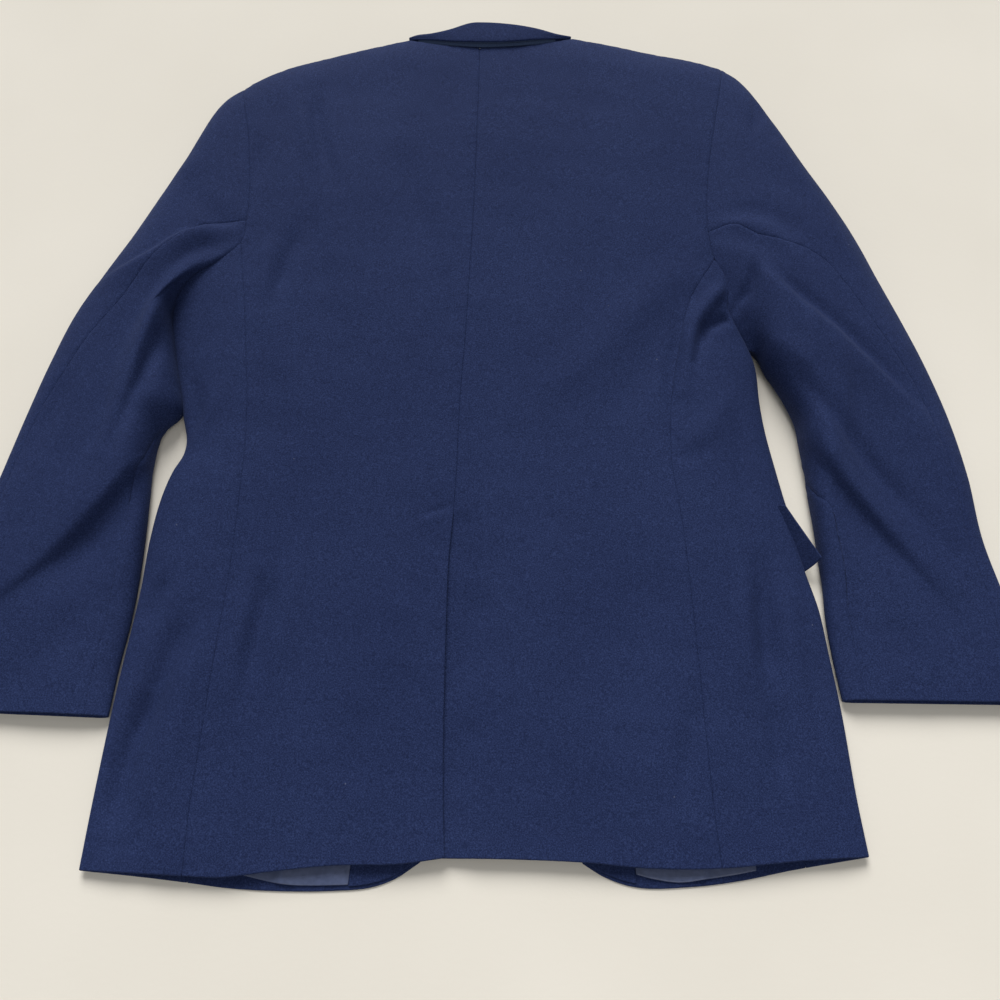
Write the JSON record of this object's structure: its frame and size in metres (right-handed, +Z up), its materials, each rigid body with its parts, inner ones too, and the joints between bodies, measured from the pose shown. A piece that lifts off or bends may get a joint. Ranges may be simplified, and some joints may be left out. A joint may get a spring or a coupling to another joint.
{
  "type": "blazer",
  "caption": "Single-breasted wool blazer lying face down on a flat surface, back up, sleeves at its sides, with notched lapels, flap pockets and a centre back vent.",
  "frame": {"origin": "on the surface the blazer lies on, under the middle of its outline", "axes": "+X to the wearer's right, +Y from the hem to the collar, +Z up from the surface, out of the blazer's back"},
  "size_m": [0.8498, 0.81, 0.0558],
  "materials": {
    "navy_wool": "matt fine twill",
    "slate_lining": "soft satin",
    "navy_felt": "matt felt",
    "dark_button": "semi-gloss"
  },
  "bodies": {
    "root": {"back_left": "navy_wool", "back_right": "navy_wool", "button_1": "dark_button", "button_2": "dark_button", "collar": "navy_wool", "collar_leaf_left": "navy_wool", "collar_leaf_right": "navy_wool", "facing_left": "navy_wool", "facing_right": "navy_wool", "flap_left": "navy_wool", "flap_right": "navy_wool", "front_left": "navy_wool", "front_right": "navy_wool", "lapel_left": "navy_wool", "lapel_right": "navy_wool", "lining_left": "slate_lining", "lining_right": "slate_lining", "side_left": "navy_wool", "side_right": "navy_wool", "top_sleeve_left": "navy_wool", "top_sleeve_right": "navy_wool", "under_collar": "navy_felt", "under_sleeve_left": "navy_wool", "under_sleeve_right": "navy_wool"}
  },
  "joints": []
}
